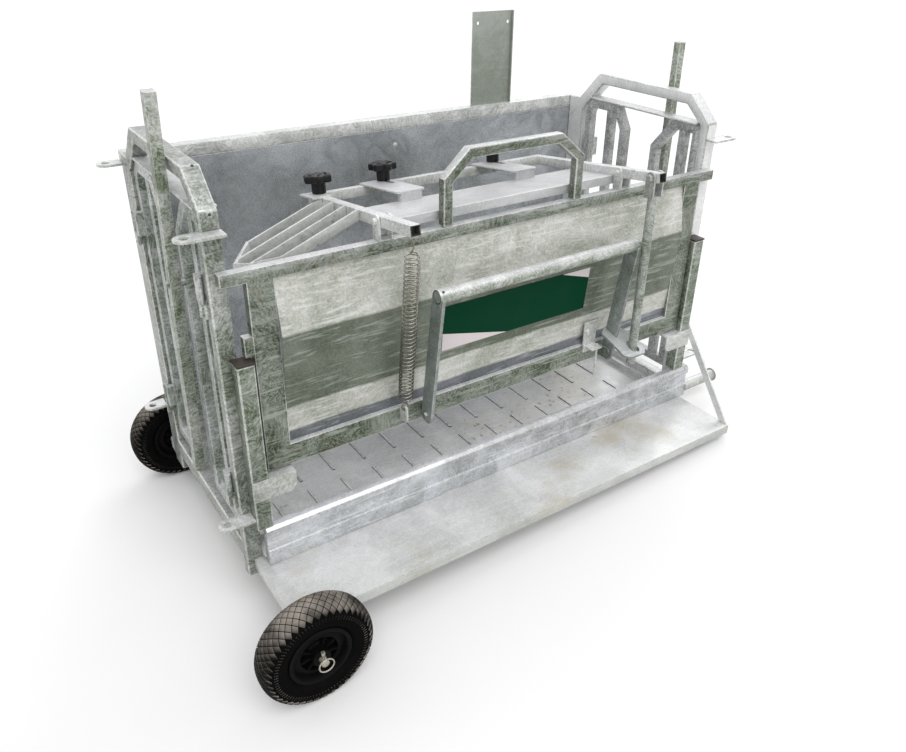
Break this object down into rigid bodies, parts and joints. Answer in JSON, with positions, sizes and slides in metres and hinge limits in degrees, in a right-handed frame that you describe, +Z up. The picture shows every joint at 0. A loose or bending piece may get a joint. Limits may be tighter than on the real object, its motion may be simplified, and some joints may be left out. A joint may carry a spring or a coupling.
{
  "type": "sheep turnover crate",
  "caption": "Galvanised handling crate whose squeeze cradle tips outwards to turn a sheep over, with half gates, sprung back clamp, step platform and wheels",
  "frame": {"origin": "middle of the underside of the centre bearer, level with the feet of both arches", "axes": "+X along the crate to the end with the lift handle, +Y from the operator's side to the back wall, +Z up"},
  "size_m": [1.7638, 1.11, 1.302],
  "materials": {
    "galvanised": "hot-dip galvanised, grey with a faint spangle",
    "galvanised_sheet": "smooth galvanised sheet, slightly darker than the tube",
    "black_plastic": "moulded black plastic",
    "tyre_rubber": "black rubber with a diamond tread",
    "black_rim": "ribbed black wheel centre",
    "bright_zinc": "bright zinc plate",
    "spring_wire": "brownish zinc-plated spring wire",
    "sign_paint": "plain dark green plate with a white corner"
  },
  "bodies": {
    "crate": {"base_bearer": "galvanised", "left_end_arch": "galvanised", "right_end_arch": "galvanised", "back_top_rail": "galvanised", "back_sheet": "galvanised_sheet", "back_bottom_rail": "galvanised", "tall_back_plate": "galvanised_sheet", "ribbed_floor": "galvanised_sheet", "front_sill": "galvanised", "lift_handle": "galvanised", "left_corner_post": "galvanised", "right_corner_post": "galvanised", "left_post_cap": "black_plastic", "right_post_cap": "black_plastic", "left_stop_bracket": "galvanised", "right_stop_bracket": "galvanised", "left_upper_front_lug": "galvanised", "left_lower_front_lug": "galvanised", "left_upper_back_lug": "galvanised", "left_lower_back_lug": "galvanised", "right_upper_front_lug": "galvanised", "right_lower_front_lug": "galvanised", "right_upper_back_lug": "galvanised", "right_lower_back_lug": "galvanised", "platform": "galvanised_sheet", "platform_brace": "galvanised", "left_gate_guide": "galvanised", "right_gate_guide": "galvanised", "axle": "bright_zinc", "front_linch_pin": "bright_zinc", "rear_linch_pin": "bright_zinc"},
    "front_wheel": {"front_tyre": "tyre_rubber", "front_rim": "black_rim"},
    "rear_wheel": {"rear_tyre": "tyre_rubber", "rear_rim": "black_rim"},
    "left_front_gate": {"left_front_gate": "galvanised", "left_gate_plug": "black_plastic"},
    "right_front_gate": {"right_front_gate": "galvanised", "right_gate_plug": "black_plastic"},
    "left_back_gate": {"left_back_gate": "galvanised"},
    "right_back_gate": {"right_back_gate": "galvanised"},
    "left_gate_lever": {"left_gate_lever": "galvanised"},
    "right_gate_lever": {"right_gate_lever": "galvanised"},
    "cradle": {"cradle_frame": "galvanised", "hoop_handle": "galvanised", "cradle_sheet": "galvanised_sheet", "sign_plate": "sign_paint", "left_clamp_bracket": "galvanised", "right_clamp_bracket": "galvanised", "spring_eye": "bright_zinc", "latch_bracket": "galvanised", "clamp_spring": "spring_wire"},
    "clamp": {"clamp_frame": "galvanised", "head_guard": "galvanised"},
    "clamp_pad": {"clamp_pad": "galvanised_sheet"},
    "left_width_knob": {"left_width_knob": "black_plastic"},
    "right_width_knob": {"right_width_knob": "black_plastic"},
    "head_guard_knob": {"head_guard_knob": "black_plastic"},
    "squeeze_lever": {"squeeze_lever": "galvanised"},
    "push_rod": {"push_rod": "galvanised"}
  },
  "joints": [
    {"name": "cradle_tilt", "type": "hinge", "parent": "crate", "child": "cradle", "pos_m": [0, -0.30505, 0.34], "axis": [1, 0, 0], "range_deg": [0, 95]},
    {"name": "clamp_tilt", "type": "hinge", "parent": "cradle", "child": "clamp", "pos_m": [0, -0.30505, 0.8587], "axis": [1, 0, 0], "range_deg": [0, 13], "deforming": ["clamp_spring"]},
    {"name": "squeeze_lever_turn", "type": "hinge", "parent": "cradle", "child": "squeeze_lever", "pos_m": [0, -0.3438, 0.335], "axis": [1, 0, 0], "range_deg": [0, 20]},
    {"name": "push_rod_swing", "type": "hinge", "parent": "clamp", "child": "push_rod", "pos_m": [0.3785, -0.42002, 0.87414], "axis": [1, 0, 0], "range_deg": [-14.5, 0]},
    {"name": "clamp_pad_slide", "type": "slide", "parent": "clamp", "child": "clamp_pad", "axis": [0, 0.9911, -0.1331], "range_m": [0, 0.05]},
    {"name": "left_width_knob_turn", "type": "hinge", "parent": "clamp", "child": "left_width_knob", "pos_m": [-0.157, 0.04423, 0.82995], "axis": [0, 0.1331, 0.9911], "continuous": true},
    {"name": "right_width_knob_turn", "type": "hinge", "parent": "clamp", "child": "right_width_knob", "pos_m": [0.205, 0.04423, 0.82995], "axis": [0, 0.1331, 0.9911], "continuous": true},
    {"name": "head_guard_knob_turn", "type": "hinge", "parent": "clamp", "child": "head_guard_knob", "pos_m": [-0.3565, 0.01945, 0.83328], "axis": [0, 0.1331, 0.9911], "continuous": true},
    {"name": "left_front_gate_swing", "type": "hinge", "parent": "crate", "child": "left_front_gate", "pos_m": [-0.7635, -0.2605, 0], "axis": [0, 0, 1], "range_deg": [0, 100]},
    {"name": "left_back_gate_swing", "type": "hinge", "parent": "crate", "child": "left_back_gate", "pos_m": [-0.7635, 0.2285, 0], "axis": [0, 0, -1], "range_deg": [0, 100]},
    {"name": "left_gate_lever_turn", "type": "hinge", "parent": "left_front_gate", "child": "left_gate_lever", "pos_m": [-0.7715, -0.093, 0.725], "axis": [1, 0, 0], "range_deg": [-12, 12]},
    {"name": "right_front_gate_swing", "type": "hinge", "parent": "crate", "child": "right_front_gate", "pos_m": [0.7635, -0.2605, 0], "axis": [0, 0, -1], "range_deg": [0, 100]},
    {"name": "right_back_gate_swing", "type": "hinge", "parent": "crate", "child": "right_back_gate", "pos_m": [0.7635, 0.2285, 0], "axis": [0, 0, 1], "range_deg": [0, 100]},
    {"name": "right_gate_lever_turn", "type": "hinge", "parent": "right_front_gate", "child": "right_gate_lever", "pos_m": [0.7715, -0.097, 0.725], "axis": [1, 0, 0], "range_deg": [-12, 12]},
    {"name": "front_wheel_spin", "type": "hinge", "parent": "crate", "child": "front_wheel", "pos_m": [-0.725, -0.61, 0.036], "axis": [0, 1, 0], "continuous": true},
    {"name": "rear_wheel_spin", "type": "hinge", "parent": "crate", "child": "rear_wheel", "pos_m": [-0.725, 0.38, 0.036], "axis": [0, 1, 0], "continuous": true}
  ],
  "couplings": [
    {"joint": "squeeze_lever_turn", "follows": "clamp_tilt", "ratio": 1.53},
    {"joint": "push_rod_swing", "follows": "clamp_tilt", "ratio": -1.1}
  ]
}
